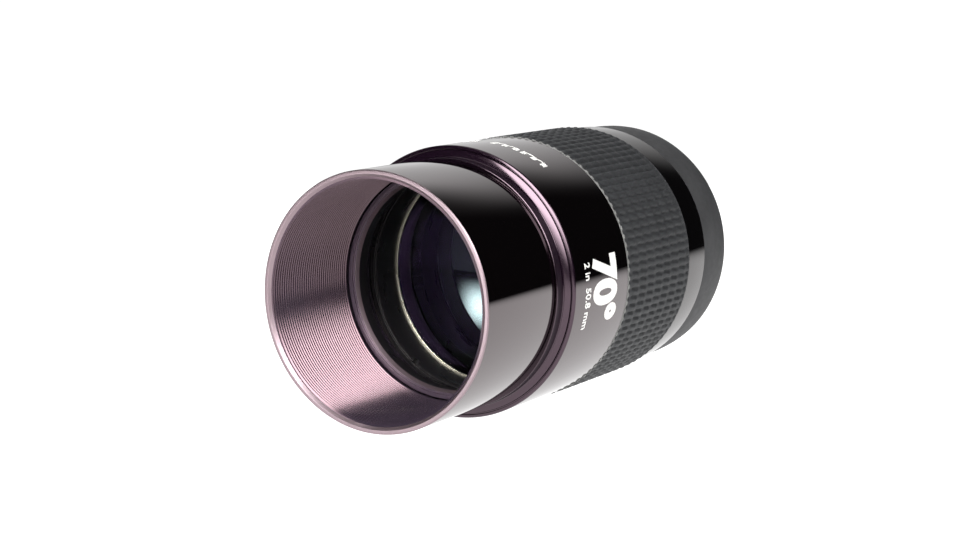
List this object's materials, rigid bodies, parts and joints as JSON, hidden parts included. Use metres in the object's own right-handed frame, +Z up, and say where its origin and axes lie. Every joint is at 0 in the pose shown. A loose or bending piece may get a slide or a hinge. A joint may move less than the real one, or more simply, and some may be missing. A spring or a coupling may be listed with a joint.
{
  "type": "telescope eyepiece",
  "caption": "Two-inch wide-field telescope eyepiece: a threaded nose tube, a polished black body with a woven-pattern rubber grip, coated glass inside and a fold-down rubber eyecup.",
  "frame": {"origin": "on the optical axis, at the shoulder where the nose barrel meets the housing's front face", "axes": "+Y along the optical axis from the nose to the eye, +Z up with the eyepiece lying on its side, +X to the right seen from the nose"},
  "size_m": [0.056, 0.105, 0.056],
  "materials": {
    "nose_anodise": "black anodised, gloss outside, violet sheen on turned faces",
    "polished_black": "black anodised and polished",
    "grip_rubber": "matte, moulded basket weave",
    "eyecup_rubber": "matte, soft",
    "matt_black": "matte black anodised",
    "bare_metal": "bare turned edge",
    "screw_steel": "blackened",
    "seal_rubber": "smooth",
    "coated_flint": "multi-coated, violet and blue-green reflections",
    "coated_crown": "multi-coated"
  },
  "bodies": {
    "eyepiece": {"nose_barrel": "nose_anodise", "field_stop_ring": "nose_anodise", "main_housing": "polished_black", "eye_end_ring": "polished_black", "grip_sleeve": "grip_rubber", "eyecup_base": "eyecup_rubber", "eyecup_skirt": "eyecup_rubber", "lens_cell": "matt_black", "field_retaining_ring": "matt_black", "eye_retaining_ring": "matt_black", "field_spacer_ring": "matt_black", "centre_spacer_ring": "matt_black", "field_seat_ring": "bare_metal", "cell_lock_screws": "screw_steel", "cell_o_ring": "seal_rubber", "field_flint_lens": "coated_flint", "field_crown_lens": "coated_crown", "centre_lens": "coated_crown", "eye_crown_lens": "coated_crown", "eye_flint_lens": "coated_flint"},
    "eyecup_rim": {"eyecup_lip": "eyecup_rubber"}
  },
  "joints": [
    {"name": "eyecup_fold", "type": "slide", "parent": "eyepiece", "child": "eyecup_rim", "axis": [0, -1, 0], "range_m": [0, 0.005], "deforming": ["eyecup_skirt"]}
  ]
}
